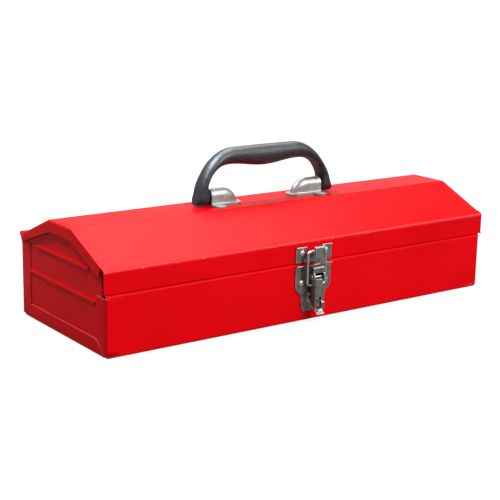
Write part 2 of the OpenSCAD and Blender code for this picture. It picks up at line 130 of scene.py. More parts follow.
def arc(centre, radius, start, end, steps):
    """Points of an arc, its angles in degrees."""
    angles = [math.radians(lerp(start, end, k / steps)) for k in range(steps + 1)]
    return [Vector((centre[0] + radius * math.cos(a), centre[1] + radius * math.sin(a))) for a in angles]


def rounded(path, steps=8):
    """Points of a broken line whose corners are rounded. Each entry of path is (a, b, radius)."""
    corners = [Vector(p[:2]) for p in path]
    radii = [p[2] for p in path]
    count = len(path)
    points = []
    for i in range(count):
        if i in (0, count - 1):
            points.append(corners[i])
            continue
        before, corner, after = corners[i - 1:i + 2]
        into, out = (corner - before).normalized(), (after - corner).normalized()
        turn = math.atan2(into.x * out.y - into.y * out.x, into.dot(out))
        if radii[i] == 0 or abs(turn) < 1e-4:
            points.append(corner)
            continue
        side = math.copysign(1, turn)
        arm = Vector((into.y, -into.x)) * side * radii[i]
        centre = corner - into * radii[i] * math.tan(abs(turn) / 2) - arm
        for k in range(steps + 1):
            angle = turn * k / steps
            points.append(centre + Matrix.Rotation(angle, 2) @ arm)
    return points


def finer(points, longest):
    """The same line with its long stretches cut into pieces no longer than longest."""
    out = [points[0]]
    for a, b in zip(points, points[1:]):
        pieces = max(1, math.ceil((b - a).length / longest))
        out += [lerp(a, b, k / pieces) for k in range(1, pieces + 1)]
    return out


def steps_between(low, high, longest):
    """Even steps from low to high, none longer than longest."""
    count = max(1, math.ceil((high - low) / longest))
    return [lerp(low, high, k / count) for k in range(count + 1)]


class Piece:
    """Collects solids, in millimetres, and makes one Blender object of them."""

    def __init__(self):
        self.verts = []
        self.faces = []

    def add(self, verts, faces):
        start = len(self.verts)
        self.verts += [Vector(v) for v in verts]
        self.faces += [[start + i for i in face] for face in faces]

    def skin(self, rows, thickness, skip=None):
        """A sheet through rows of points. A point may be None, and skip(row, column) leaves a hole."""
        index, verts, faces = {}, [], []
        for i, row in enumerate(rows):
            for j, point in enumerate(row):
                if point is not None:
                    index[i, j] = len(verts)
                    verts.append(Vector(point))
        for i in range(len(rows) - 1):
            for j in range(len(rows[0]) - 1):
                keys = [(i, j), (i, j + 1), (i + 1, j + 1), (i + 1, j)]
                if all(key in index for key in keys) and not (skip and skip(i, j)):
                    faces.append([index[key] for key in keys])
        self.add(*thickened(verts, faces, thickness))

    def tube(self, rings):
        """A closed solid through rings of points, with a flat end on each."""
        sides = len(rings[0])
        verts = [p for ring in rings for p in ring]
        faces = []
        for i in range(len(rings) - 1):
            for k in range(sides):
                n = (k + 1) % sides
                faces.append([i * sides + k, i * sides + n, (i + 1) * sides + n, (i + 1) * sides + k])
        faces.append(list(range(sides))[::-1])
        faces.append([(len(rings) - 1) * sides + k for k in range(sides)])
        self.add(verts, faces)

    def plate(self, outline, place, low, high):
        """A flat plate: place(a, b, depth) puts the outline's points in space, from depth low to high."""
        count = len(outline)
        verts = [place(p[0], p[1], d) for d in (low, high) for p in outline]
        sides = [[k, (k + 1) % count, count + (k + 1) % count, count + k] for k in range(count)]
        self.add(verts, sides + [list(range(count))[::-1], [count + k for k in range(count)]])

    def lathe(self, profile, base, axis, sides=28):
        """A round solid: profile is (radius, height) along axis from base, and its ends lie on the axis."""
        axis = Vector(axis).normalized()
        across = axis.orthogonal().normalized()
        other = axis.cross(across)
        rings = []
        for radius, height in profile:
            angles = [2 * math.pi * k / sides for k in range(sides)]
            middle = Vector(base) + axis * height
            rings.append([middle + (across * math.cos(a) + other * math.sin(a)) * radius for a in angles])
        self.tube(rings)

    def wire(self, path, radius, sides=16):
        """A round wire along a path of points that lies in one plane."""
        rings = []
        for i, point in enumerate(path):
            ahead = path[min(i + 1, len(path) - 1)] - path[max(i - 1, 0)]
            along = ahead.normalized()
            flat = Vector((0, 1, 0)) if abs(along.y) < 0.5 else Vector((1, 0, 0))
            other = along.cross(flat).normalized()
            flat = other.cross(along)
            angles = [2 * math.pi * k / sides for k in range(sides)]
            rings.append([point + (flat * math.cos(a) + other * math.sin(a)) * radius for a in angles])
        self.tube(rings)

    def flipped(self):
        """Its mirror image, left for right, as a new piece."""
        other = Piece()
        other.add([Vector((-v.x, v.y, v.z)) for v in self.verts], [face[::-1] for face in self.faces])
        return other

    def build(self, name, body, nodes, slot, material, bevel, sharp=34, edge_material=None, clamp=True):
        """Makes the object, with edges that turn by more than sharp degrees bevelled by bevel millimetres.

        edge_material, if given, covers the bevels. clamp narrows every bevel to what the shortest edge
        allows, so the finely divided sheets turn it off.
        """
        mesh = bpy.data.meshes.new(name)
        mesh.from_pydata([v * MM for v in self.verts], [], self.faces)
        tidy = bmesh.new()
        tidy.from_mesh(mesh)
        bmesh.ops.remove_doubles(tidy, verts=tidy.verts, dist=WELD * MM)
        bmesh.ops.recalc_face_normals(tidy, faces=tidy.faces)
        tidy.to_mesh(mesh)
        tidy.free()
        for polygon in mesh.polygons:
            polygon.use_smooth = True
        mesh.set_sharp_from_angle(angle=math.radians(sharp))
        mesh.materials.append(material)
        piece = bpy.data.objects.new(name, mesh)
        bpy.context.scene.collection.objects.link(piece)
        if bevel:
            edge = piece.modifiers.new("edges", "BEVEL")
            edge.width = bevel * MM
            edge.segments = 3
            edge.limit_method = "ANGLE"
            edge.angle_limit = math.radians(sharp)
            edge.harden_normals = True
            edge.use_clamp_overlap = clamp
            if edge_material is not None:
                mesh.materials.append(edge_material)
                edge.material = 1
        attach(piece, body)
        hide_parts(*nodes)


def thickened(verts, faces, thickness):
    """Both sides and the edges of a sheet whose middle surface is given."""
    normals = []
    for face in faces:
        a, b, c, d = (verts[i] for i in face)
        normals.append((c - a).cross(d - b).normalized())
    around = [[] for _ in verts]
    for face, normal in zip(faces, normals):
        for i in face:
            around[i].append(normal)
    half = []
    for own in around:
        total = sum(own, Vector()).normalized() if own else Vector()
        lean = sum(total.dot(n) for n in own) / max(1, len(own))
        half.append(total * (thickness / 2 / max(0.5, lean)))
    count = len(verts)
    solid = [v + h for v, h in zip(verts, half)] + [v - h for v, h in zip(verts, half)]
    out = [list(face) for face in faces] + [[i + count for i in face[::-1]] for face in faces]
    uses = {}
    for face in faces:
        for i, j in zip(face, face[1:] + face[:1]):
            uses[i, j] = True
    out += [[j, i, i + count, j + count] for i, j in uses if (j, i) not in uses]
    return solid, out


def sheet_rows(section, xs):
    """Rows of a sheet whose (y, z) section runs straight along x."""
    return [[Vector((x, p[0], p[1])) for x in xs] for p in section]


def side_normals(section):
    """Unit normals on the left of a section's direction, one for each point."""
    normals = []
    for i in range(len(section)):
        along = (section[min(i + 1, len(section) - 1)] - section[max(i - 1, 0)]).normalized()
        normals.append(Vector((-along.y, along.x)))
    return normals


def wrapped_rows(section, outward, flap_x, plain_x, free_edge, longest=14.0, steps=6):
    """Rows of a sheet whose ends bend in over the ends of the box.

    outward is each point's outward normal, flap_x the middle of the bent flap, plain_x(point) where a row
    with no flap ends, and free_edge(point) the (y, z) of the flap's free edge, or None.
    """
    rows = []
    for point, normal in zip(section, outward):
        edge = free_edge(point)
        reach = flap_x - BEND if edge is not None else plain_x(point)
        across = [Vector((x, point.x, point.y)) for x in steps_between(0, flap_x - BEND, longest)[:-1]]
        across.append(Vector((reach, point.x, point.y)))
        bent = [None] * (steps + 1)
        if edge is not None:
            for k in range(1, steps + 1):
                angle = math.pi / 2 * k / steps
                inward = point - normal * BEND * (1 - math.cos(angle))
                bent[k - 1] = Vector((reach + BEND * math.sin(angle), inward.x, inward.y))
            bent[steps] = Vector((flap_x, edge[0], edge[1]))
        right = across + bent
        left = [None if p is None else Vector((-p.x, p.y, p.z)) for p in right[:0:-1]]
        rows.append(left + right)
    return rows


# ---- materials ----

class Nodes:
    """Short names for making one node material."""

    def __init__(self, name):
        self.material = bpy.data.materials.new(name)
        self.material.use_nodes = True
        self.tree = self.material.node_tree
        self.tree.nodes.clear()
        self.shader = self.tree.nodes.new("ShaderNodeBsdfPrincipled")
        output = self.tree.nodes.new("ShaderNodeOutputMaterial")
        self.join(self.shader.outputs[0], output.inputs["Surface"])
        self.place = self.tree.nodes.new("ShaderNodeTexCoord").outputs["Object"]

    def join(self, source, target):
        self.tree.links.new(source, target)

    def put(self, target, value):
        if isinstance(value, bpy.types.NodeSocket):
            self.join(value, target)
        else:
            target.default_value = value

    def set(self, **values):
        for name, value in values.items():
            self.put(self.shader.inputs[name.replace("_", " ")], value)

    def stretched(self, scale):
        mapping = self.tree.nodes.new("ShaderNodeMapping")
        self.join(self.place, mapping.inputs["Vector"])
        mapping.inputs["Scale"].default_value = scale
        return mapping.outputs[0]

    def noise(self, size, detail=2.0, roughness=0.5, vector=None):
        """Noise with features of about the given size in millimetres."""
        noise = self.tree.nodes.new("ShaderNodeTexNoise")
        noise.inputs["Scale"].default_value = 1 / (size * MM)
        noise.inputs["Detail"].default_value = detail
        noise.inputs["Roughness"].default_value = roughness
        self.join(vector or self.place, noise.inputs["Vector"])
        return noise.outputs[0]

    def cells(self, size):
        cells = self.tree.nodes.new("ShaderNodeTexVoronoi")
        cells.inputs["Scale"].default_value = 1 / (size * MM)
        self.join(self.place, cells.inputs["Vector"])
        return cells.outputs["Distance"]

    def math(self, operation, a, b=0.0, clamp=False):
        node = self.tree.nodes.new("ShaderNodeMath")
        node.operation = operation
        node.use_clamp = clamp
        self.put(node.inputs[0], a)
        self.put(node.inputs[1], b)
        return node.outputs[0]

    def remap(self, value, low, high, out_low, out_high):
        node = self.tree.nodes.new("ShaderNodeMapRange")
        self.join(value, node.inputs["Value"])
        node.inputs["From Min"].default_value = low
        node.inputs["From Max"].default_value = high
        node.inputs["To Min"].default_value = out_low
        node.inputs["To Max"].default_value = out_high
        return node.outputs[0]

    def mix(self, factor, a, b):
        node = self.tree.nodes.new("ShaderNodeMix")
        node.data_type = "RGBA"
        self.put(node.inputs[0], factor)
        for socket, colour in ((node.inputs[6], a), (node.inputs[7], b)):
            self.put(socket, colour if isinstance(colour, bpy.types.NodeSocket) else (*colour, 1))
        return node.outputs[2]

    def bump(self, height, depth, after=None):
        """Bump of the given depth in millimetres for heights of 0 to 1."""
        node = self.tree.nodes.new("ShaderNodeBump")
        node.inputs["Strength"].default_value = 1
        node.inputs["Distance"].default_value = depth * MM
        self.join(height, node.inputs["Height"])
        if after is not None:
            self.join(after, node.inputs["Normal"])
        return node.outputs[0]

    def axis(self, name):
        split = self.tree.nodes.new("ShaderNodeSeparateXYZ")
        self.join(self.place, split.inputs[0])
        return split.outputs[name]


def red_paint():
    """Red powder coat: faint orange peel, slow changes of shade, tiny chips along the front eave, and a
    lighter band along the eave that is a painted highlight.
    """
    n = Nodes("red_powder_coat")
    shade = n.remap(n.noise(60, 3, 0.55), 0.3, 0.7, 0, 1)
    red = n.mix(shade, (0.62, 0.0009, 0.0035), (0.72, 0.0014, 0.005))
    near_y = n.math("ABSOLUTE", n.math("SUBTRACT", n.axis("Y"), FRONT * MM))
    near_z = n.math("ABSOLUTE", n.math("SUBTRACT", n.axis("Z"), (EAVE - 0.4) * MM))
    away = n.math("ADD", near_y, near_z)
    on_eave = n.remap(away, 0.6 * MM, 2.0 * MM, 1, 0)
    # A band of lighter red along the front eave: a painted highlight of the bend, not wear
    eave_highlight = n.math("MULTIPLY", on_eave, 0.45)
    chips = n.remap(n.noise(2.2, 4, 0.7, n.stretched((0.45, 1, 1))), 0.61, 0.68, 0, 1)
    worn = n.math("MULTIPLY", on_eave, chips, clamp=True)
    dust = n.remap(n.noise(0.9, 1, 0.5), 0.72, 0.76, 0, 0.05)
    colour = n.mix(worn, n.mix(eave_highlight, red, (0.95, 0.10, 0.11)), (0.85, 0.48, 0.44))
    colour = n.mix(dust, colour, (0.75, 0.35, 0.32))
    rough = n.remap(n.noise(7, 4, 0.6), 0.25, 0.75, 0.30, 0.40)
    slow = n.bump(n.noise(85, 1, 0.4), 0.8)
    peel = n.bump(n.noise(1.7, 2, 0.5), 0.018, slow)
    n.set(Base_Color=colour, Roughness=rough, Normal=peel, Specular_IOR_Level=0.04)
    return n.material


def edge_highlight_paint():
    """The same paint made lighter on the sheet's bevelled edges: a painted highlight where the edges catch
    the light.
    """
    n = Nodes("red_paint_edge_highlight")
    shade = n.remap(n.noise(3, 3, 0.6), 0.35, 0.65, 0, 1)
    # Both reds here are lighter than the coat: a painted highlight along the edges
    n.set(Base_Color=n.mix(shade, (0.76, 0.02, 0.028), (0.94, 0.12, 0.13)), Specular_IOR_Level=0.3)
    n.set(Roughness=0.3, Normal=n.bump(n.noise(1.7, 2, 0.5), 0.015))
    return n.material


def plated(name, light, dark, rough_low, rough_high, grain=(1, 1, 1)):
    """Plated steel: cloudy colour, fine drawn grain, and darker patches."""
    n = Nodes(name)
    cloud = n.remap(n.noise(5, 4, 0.6), 0.3, 0.7, 0, 1)
    colour = n.mix(cloud, dark, light)
    stains = n.remap(n.noise(1.8, 5, 0.7), 0.55, 0.75, 0, 0.35)
    colour = n.mix(stains, colour, tuple(c * 0.55 for c in dark))
    drawn = n.noise(0.5, 3, 0.6, n.stretched(grain))
    rough = n.remap(n.math("ADD", n.math("MULTIPLY", drawn, 0.6), n.math("MULTIPLY", cloud, 0.4)),
                    0.2, 0.8, rough_low, rough_high)
    uneven = n.bump(n.noise(3.4, 2, 0.5), 0.05)
    scratched = n.bump(drawn, 0.006, uneven)
    n.set(Base_Color=colour, Roughness=rough, Normal=scratched, Metallic=1.0)
    return n.material


def handle_plastic():
    """Moulded black plastic with a fine leather-like grain, a little dust and uneven shine."""
    n = Nodes("black_handle_plastic")
    grain = n.cells(1.1)
    pores = n.noise(0.55, 3, 0.6)
    height = n.math("ADD", n.math("MULTIPLY", grain, 0.7), n.math("MULTIPLY", pores, 0.5))
    dusty = n.remap(n.noise(1.5, 3, 0.65), 0.54, 0.66, 0, 0.4)
    colour = n.mix(n.noise(16, 2, 0.5), (0.005, 0.007, 0.010), (0.011, 0.015, 0.021))
    colour = n.mix(dusty, colour, (0.10, 0.11, 0.12))
    rub = n.remap(n.noise(22, 3, 0.6), 0.35, 0.65, 0.36, 0.46)
    n.set(Base_Color=colour, Roughness=rub, Normal=n.bump(height, 0.16), Specular_IOR_Level=0.5)
    return n.material


def grey(level):
    return (level, level, level)


def pale_floor():
    """A floor that glows white for the camera, and throws less light back at the box than it shows."""
    n = Nodes("pale_floor")
    rays = n.tree.nodes.new("ShaderNodeLightPath").outputs
    to_camera = rays["Is Camera Ray"]
    seen = n.mix(n.noise(400, 2), grey(0.17), grey(0.19))
    seen = n.mix(to_camera, seen, grey(0.3))
    n.set(Base_Color=n.mix(rays["Is Glossy Ray"], seen, grey(0.28)), Roughness=0.9)
    n.set(Specular_IOR_Level=0.1, Emission_Color=(1, 1, 1, 1))
    n.set(Emission_Strength=n.math("MULTIPLY", to_camera, 0.72))
    return n.material


PAINT = red_paint()
PAINT_EDGE_HIGHLIGHT = edge_highlight_paint()
ZINC = plated("zinc_plate", (0.42, 0.413, 0.395), (0.27, 0.266, 0.257), 0.42, 0.56)
NICKEL = plated("nickel_plate", (0.30, 0.29, 0.275), (0.17, 0.165, 0.16), 0.22, 0.38, (1, 1, 0.25))
# Lighter plate for the bevels of the latch parts: a painted highlight along their edges
NICKEL_EDGE_HIGHLIGHT = plated("nickel_edge_highlight", (0.62, 0.60, 0.56), (0.42, 0.41, 0.39), 0.2, 0.32)
STEEL = plated("bright_steel", (0.50, 0.50, 0.49), (0.36, 0.36, 0.36), 0.2, 0.35, (0.2, 1, 1))
RIVET = plated("rivet_steel", (0.46, 0.45, 0.43), (0.30, 0.295, 0.285), 0.38, 0.5)
PLASTIC = handle_plastic()


# ---- base ----

LIP = FRONT + 2.4
LIP_TOP = LID_EDGE + 6.9
FLAP_X = END - SHEET / 2
PANEL_X = END - SHEET * 1.5
# Tops of the flaps on the front (-1) and back (1) walls
FLAP_TOPS = {-1: 48.5, 1: 66.0}
# The flaps are cut aslant at the bottom corners: a wall's from one height to the other, the bottom's between
# two distances from the middle, and each reaches in by the amounts beside them
WALL_SLANT, WALL_REACH = [2.1, 14.4], [4.1, 15.5]
BOTTOM_SLANT, BOTTOM_REACH = [57.5, 68], [13, 1.9]


def body_shell():
    """Front wall, bottom and back wall in one sheet, hemmed along the front and bent in over the ends."""
    hem = 0.54
    middle = SHEET / 2
    bottom = middle + 0.04
    path = [
        (LIP + 1.2, LIP_TOP - 5, 0), (LIP + 1.2, LIP_TOP, hem), (LIP, LIP_TOP, hem),
        (LIP, LID_EDGE - 0.1, 1.2), (FRONT + middle, LID_EDGE - 2.1, 1.2), (FRONT + middle, bottom, BEND),
        (BACK - middle, bottom, BEND), (BACK - middle, EAVE - 2.6, 0),
    ]
    section = finer(rounded(path), 4.0)
    for z in (*FLAP_TOPS.values(), *WALL_SLANT):
        section = with_level(section, z)
    outward = [-n for n in side_normals(section)]

    def free_edge(point):
        if point.y < bottom + 0.01:
            reach = interp(abs(point.x), BOTTOM_SLANT, BOTTOM_REACH)
            return (point.x, reach) if abs(point.x) <= BOTTOM_SLANT[1] else None
        side = 1 if point.x > 0 else -1
        on_wall = abs(abs(point.x) - (BACK - middle)) < 0.01
        if not on_wall or not WALL_SLANT[0] - 0.05 < point.y <= FLAP_TOPS[side] + 0.01:
            return None
        reach = interp(point.y, WALL_SLANT, WALL_REACH)
        return (side * (BACK - reach), point.y)

    def plain_x(point):
        return FLAP_X - 0.1 if point.x < 0 and point.y > FLAP_TOPS[-1] + 0.05 else PANEL_X - 0.6

    piece = Piece()
    piece.skin(wrapped_rows(section, outward, FLAP_X, plain_x, free_edge), SKIN)
    # The bevels take the lighter edge paint, a painted highlight along the sheet's edges
    piece.build("body_shell_sheet", "box", ["body_shell"], "red_paint", PAINT, 0.26,
                edge_material=PAINT_EDGE_HIGHLIGHT, clamp=False)


def with_level(section, z):
    """Adds a point where the section's upright walls cross the height z, and one just above it."""
    out = [section[0]]
    for a, b in zip(section, section[1:]):
        upright = abs(a.x - b.x) < TINY
        levels = [z, z + CUT] if a.y < b.y else [z + CUT, z]
        for level in levels:
            if upright and min(a.y, b.y) + TINY < level < max(a.y, b.y) - TINY:
                out.append(Vector((a.x, level)))
        out.append(b)
    return out


# Height and half length of each pressed bead
BEADS = ((66.3, 44.0), (42.0, 55.0))
BEAD_PROUD = 1.4
BEAD_HALF = 2.9
# Across a bead the panel is divided this finely, by this many rows on each side of the bead's middle
BEAD_STEP, BEAD_ROWS = 0.36, 9
PANEL_COLUMNS = 130
# Rows of an end panel closer than this to the row below are left out
ROW_GAP = 0.08
PANEL_Y = BACK - SHEET / 2 - BEND - 0.05
PANEL_FOOT = SHEET / 2 + BEND + 0.05
ROOF_IN = SHEET + 0.4
PANEL_FRONT = 65.5
# The upper front corner is cut away from here up
CORNER_Y, CORNER_Z = 61.4, 62.0
SAFE_EDGE = 5.4


def bead_height(y, z):
    """How far the pressed beads stand out of an end panel at (y, z)."""
    height = 0.0
    for bead_z, half in BEADS:
        distance = math.hypot(max(0.0, abs(y) - half), z - bead_z) / BEAD_HALF
        if distance < 1:
            height += BEAD_PROUD * (1 + math.cos(math.pi * distance)) / 2
    return height


def panel_ends(z):
    """The lowest and highest y of an end panel at height z. At the back it leaves room for the hinge."""
    slope_y = FLAT_HALF + (RIDGE - ROOF_IN * SLOPE_LEN - z) / SLOPE
    under_leaf = interp(z, [EAVE - 3, 75.4, 75.6], [3, 3, 0])
    back = min(PANEL_Y, slope_y - under_leaf)
    cut_z = [CORNER_Z, roof_z(CORNER_Y, ROOF_IN)]
    front = min(slope_y, interp(z, cut_z, [PANEL_FRONT, CORNER_Y]))
    return -front, back


def end_panel():
    """The right end panel, with pressed beads and a safe edge folded in under the roof."""
    top = RIDGE - ROOF_IN
    levels = steps_between(PANEL_FOOT, top, 2.6) + [CORNER_Z, roof_z(CORNER_Y, ROOF_IN)]
    for bead_z, _ in BEADS:
        levels += [bead_z + d * BEAD_STEP for d in range(-BEAD_ROWS, BEAD_ROWS + 1)]
    levels = sorted(levels)
    levels = [z for i, z in enumerate(levels) if i == 0 or z - levels[i - 1] > ROW_GAP]
    rows = []
    for z in levels:
        low, high = panel_ends(z)
        ys = [lerp(low, high, k / PANEL_COLUMNS) for k in range(PANEL_COLUMNS + 1)]
        rows.append([Vector((PANEL_X + bead_height(y, z), y, z)) for y in ys])
    piece = Piece()
    piece.skin(rows, SHEET)
    inside = ROOF_IN + SHEET / 2
    front, back = CORNER_Y - 2.2, BACK - 18
    edge = [
        (-front, roof_z(front, inside), 0),
        (-flat_half(inside), RIDGE - inside, BEND), (flat_half(inside), RIDGE - inside, BEND),
        (back, roof_z(back, inside), 0),
    ]
    piece.skin(sheet_rows(rounded(edge), [PANEL_X - SAFE_EDGE, PANEL_X - 2, PANEL_X + 0.3]), SHEET)
    return piece


def end_panels():
    right = end_panel()
    right.build("right_end_panel_sheet", "box", ["right_end_panel"], "red_paint", PAINT, 0.12)
    right.flipped().build("left_end_panel_sheet", "box", ["left_end_panel"], "red_paint", PAINT, 0.12)


# ---- hinge ----

BARREL = 2.3
LEAF = 0.9
LEAF_W = 14.0
KNUCKLES = 17
KNUCKLE_GAP = 0.25
# How far round the pin a knuckle is rolled, in degrees
ROLL = 325
LEAF_X = PANEL_X - SHEET / 2 - 0.3


def rolled_leaf(first, tangent, normal):
    """Half of the piano hinge: knuckles first, first + 2 and so on, rolled from a leaf.

    tangent points from the barrel along the leaf, and normal from the pin towards the leaf's outer face.
    """
    turn_radius = BARREL - LEAF / 2 - 0.02
    start = math.degrees(math.atan2(normal.y, normal.x))
    side = 1 if tangent.x * normal.y - tangent.y * normal.x > 0 else -1
    roll = arc(HINGE, turn_radius, start, start + side * ROLL, 26)
    touch = HINGE + normal * turn_radius
    length = 2 * END / KNUCKLES
    piece = Piece()
    for i in range(first, KNUCKLES, 2):
        low = -END + i * length + KNUCKLE_GAP / 2
        high = -END + (i + 1) * length - KNUCKLE_GAP / 2
        strap = [touch + tangent * d for d in (BARREL + 0.5, 1.2)]
        xs = [low, low + 0.5, high - 0.5, high]
        piece.skin(sheet_rows(roll, xs), LEAF)
        strap_xs = [max(low, -LEAF_X), min(high, LEAF_X)]
        piece.skin(sheet_rows([*strap, roll[0]], strap_xs), LEAF)
    leaf = [touch + tangent * (BARREL + 0.35), touch + tangent * LEAF_W]
    piece.skin(sheet_rows(leaf, steps_between(-LEAF_X, LEAF_X, 40)), LEAF)
    return piece


def hinge():
    """Both leaves of the piano hinge, and its pin with chamfered ends."""
    down = Vector((0, -1))
    body = rolled_leaf(0, down, Vector((-1, 0)))
    body.build("hinge_body_leaf_rolled", "box", ["hinge_body_leaf"], "red_paint", PAINT, 0.15)
    lid = rolled_leaf(1, SLOPE_DIR, -SLOPE_OUT)
    lid.build("hinge_lid_leaf_rolled", "lid", ["hinge_lid_leaf"], "red_paint", PAINT, 0.15)
    low, high = box("hinge_pin")
    radius = (high.z - low.z) / 2
    pin = Piece()
    length = high.x - low.x
    chamfer = 0.3
    profile = [(chamfer, 0), (radius - chamfer, 0), (radius, chamfer), (radius, length - chamfer),
               (radius - chamfer, length), (chamfer, length)]
    pin.lathe(profile, (low.x, HINGE.x, HINGE.y), (1, 0, 0))
    pin.build("hinge_pin_rod", "lid", ["hinge_pin"], "pin_steel", STEEL, 0)


# ---- lid ----

# Height of the rims over the ends, and where they begin and end along the roof
RIM = 10.0
RIM_ENDS = (-67.6, 71.6)
# Height of the front flange's hem
HEM_H = 5.4


def lid_shell():
    """One sheet: hemmed front flange, front slope, flat top, back slope, and rims bent down over the ends."""
    middle = SHEET / 2
    front = FRONT + middle
    tail = HINGE - SLOPE_OUT * (BARREL - LEAF - middle) + SLOPE_DIR * (BARREL + 0.55)
    path = [
        (front + 0.95, LID_EDGE + HEM_H, 0), (front + 0.95, LID_EDGE + middle, 0.47),
        (front, LID_EDGE + middle, 0.47), (front, roof_z(front, middle), 2.0),
        (-flat_half(middle), RIDGE - middle, 2.4), (flat_half(middle), RIDGE - middle, 2.4),
        (tail.x, tail.y, 0),
    ]
    section = finer(rounded(path, 10), 4.0)
    for y in RIM_ENDS:
        section = with_across(section, y)
    outward = side_normals(section)
    tops = [RIM_ENDS[0], -FLAT_HALF, FLAT_HALF, RIM_ENDS[1]]
    front_tip, back_tip = 64.2, 69.6
    low_y = [-front_tip, -flat_half(RIM), flat_half(RIM), back_tip]
    low_z = [roof_z(front_tip, RIM), RIDGE - RIM, RIDGE - RIM, roof_z(back_tip, RIM * 0.66)]

    def free_edge(point):
        if not RIM_ENDS[0] - 0.01 <= point.x <= RIM_ENDS[1] + 0.01 or point.y < EAVE - 2:
            return None
        return (interp(point.x, tops, low_y), interp(point.x, tops, low_z))

    piece = Piece()
    rows = wrapped_rows(section, outward, LID_END - middle, lambda p: LID_END - 0.05, free_edge)
    piece.skin(rows, SKIN)
    piece.build("lid_shell_sheet", "lid", ["lid_shell"], "red_paint", PAINT, 0.2, clamp=False)


def with_across(section, y):
    """Adds a point where the section crosses y, and one just beyond it, away from the middle."""
    beyond = y + math.copysign(CUT, y)
    out = [section[0]]
    for a, b in zip(section, section[1:]):
        for level in sorted((y, beyond)):
            if min(a.x, b.x) + TINY < level < max(a.x, b.x) - TINY and a.y > EAVE - 2:
                out.append(lerp(a, b, (level - a.x) / (b.x - a.x)))
        out.append(b)
    return out


# ---- handle brackets ----

BRACKET_T = 1.5
DOME = box("right_handle_bracket")[1].z - HANDLE.y
# Where the dome ends, towards the handle's foot and towards the middle of the lid
MOUTH = 61.4
NOSE = 31.6
# Centre (x, y) and radius of a flange's lobe; centre x and radius of its tongue
LOBE = (55.8, 13.0, 5.4)
TONGUE = (36.1, 8.6)


def flange_outline():
    """Outline of a bracket's flange: two lobes beside the mouth and a tongue towards the middle."""
    lobe_x, lobe_y, lobe_r = LOBE
    tip = TONGUE[0] - TONGUE[1]
    half = [
        (lobe_x + lobe_r, 0, 0), (lobe_x + lobe_r, lobe_y + lobe_r, lobe_r - 0.1),
        (lobe_x - lobe_r, lobe_y + lobe_r, lobe_r - 0.1), (lobe_x - lobe_r, TONGUE[1] + 0.4, 3.0),
        (tip, TONGUE[1] - 0.4, TONGUE[1] - 1.2), (tip, 0, 0),
    ]
    upper = rounded(half, 8)
    lower = [Vector((p.x, -p.y)) for p in upper[-2:0:-1]]
    return upper + lower


def dome_section(x):
    """Half width and height of a bracket's dome at x: straight by the mouth, an ellipse at the nose."""
    along = min(1.0, max(0.0, (x - NOSE) / (DOME + HANDLE.y - RIDGE)))
    full = math.sqrt(max(0.0, 1 - (1 - along) ** 2))
    flare = 0.5 * max(0.0, (x - MOUTH + 2.2) / 2.2) ** 2
    return DOME * full ** 0.8 - 0.5 + flare, (HANDLE.y + DOME - RIDGE) * full - 0.5 + flare


def bracket():
    """The right handle bracket: a flange with a tunnel-shaped dome pressed up out of it."""
    piece = Piece()
    piece.plate(flange_outline(), lambda a, b, d: Vector((a, b, d)), RIDGE, RIDGE + BRACKET_T)
    foot = 1.9
    rows = []
    xs = [NOSE + (MOUTH - NOSE) * (k / 40) ** 1.6 for k in range(1, 41)]
    for x in [*xs[:-1], MOUTH - 0.45]:
        half, height = dome_section(x)
        height = max(height, BRACKET_T + 0.15)
        foot_here = min(foot, max(0.2, height - BRACKET_T))
        side = max(half, 0.3)
        top_r = min(side, height * 0.92)
        path = [(-side - foot_here * 1.6, BRACKET_T - 0.45, 0), (-side, BRACKET_T - 0.45, foot_here * 0.9),
                (-side, height, top_r * 0.98), (side, height, top_r * 0.98),
                (side, BRACKET_T - 0.45, foot_here * 0.9), (side + foot_here * 1.6, BRACKET_T - 0.45, 0)]
        outline = rounded(path, 9)
        rows.append([Vector((x, p.x, RIDGE + p.y)) for p in outline])
    nose = rows[0]
    rows.insert(0, [Vector((NOSE - 1.2, p.y * 0.4, RIDGE + BRACKET_T - 0.5)) for p in nose])
    piece.skin(rows, 1.0)
    return piece


def bracket_rivets():
    """Heads and tails of the right bracket's two rivets."""
    piece = Piece()
    for side in (-1, 1):
        profile = dome_profile(3.0, 0.9)
        piece.lathe(profile, (LOBE[0], side * LOBE[1], RIDGE + BRACKET_T - 0.02), (0, 0, 1))
        piece.lathe(tail_profile(), (LOBE[0], side * LOBE[1], RIDGE - SHEET + 0.02), (0, 0, -1))
    return piece


def dome_profile(radius, height, steps=7):
    """A rivet head: a low dome with a soft rim."""
    points = [(0.02, height)]
    for k in range(1, steps + 1):
        a = math.radians(90 - 80 * k / steps)
        points.append((radius * math.cos(a), height * math.sin(a) ** 0.8))
    return [*points, (radius, 0.02), (radius * 0.9, 0), (0.02, 0)]


def tail_profile():
    """A rivet's formed tail."""
    return [(0.02, 0.8), (0.7, 0.72), (1.9, 0.7), (2.25, 0.5), (2.4, 0.2), (2.4, 0), (0.02, 0)]


def brackets():
    """Both brackets and their rivets, the left ones mirrored."""
    right, rivets = bracket(), bracket_rivets()
    for side, plate, heads in (("right", right, rivets), ("left", right.flipped(), rivets.flipped())):
        plate.build(f"{side}_bracket_stamping", "lid", [f"{side}_handle_bracket"], "plated_steel", ZINC, 0.3)
        heads.build(f"{side}_bracket_rivet_heads", "lid", [f"{side}_bracket_rivets"], "plated_steel", ZINC,
                    0.08)


# ---- handle ----

LEAN = math.radians(4)
FOOT_Z = HANDLE.y - 6.4
CROWN = box("handle_grip")[1].z + 0.05
# Half width of the level top outside and inside, and the inside's height at the shoulder and in the middle
SHOULDER_OUT, SHOULDER_IN = 32.5, 36.8
SHOULDER_Z, PALM_Z = 128.0, 124.7
# The foot stays within this radius of the pivots, to clear the roof as it folds
SWING = 8.1
# The steel strap's foot is this far below the pivots, and its top at this height
STRAP_BELOW = 2.6
STRAP_TOP = 135.4


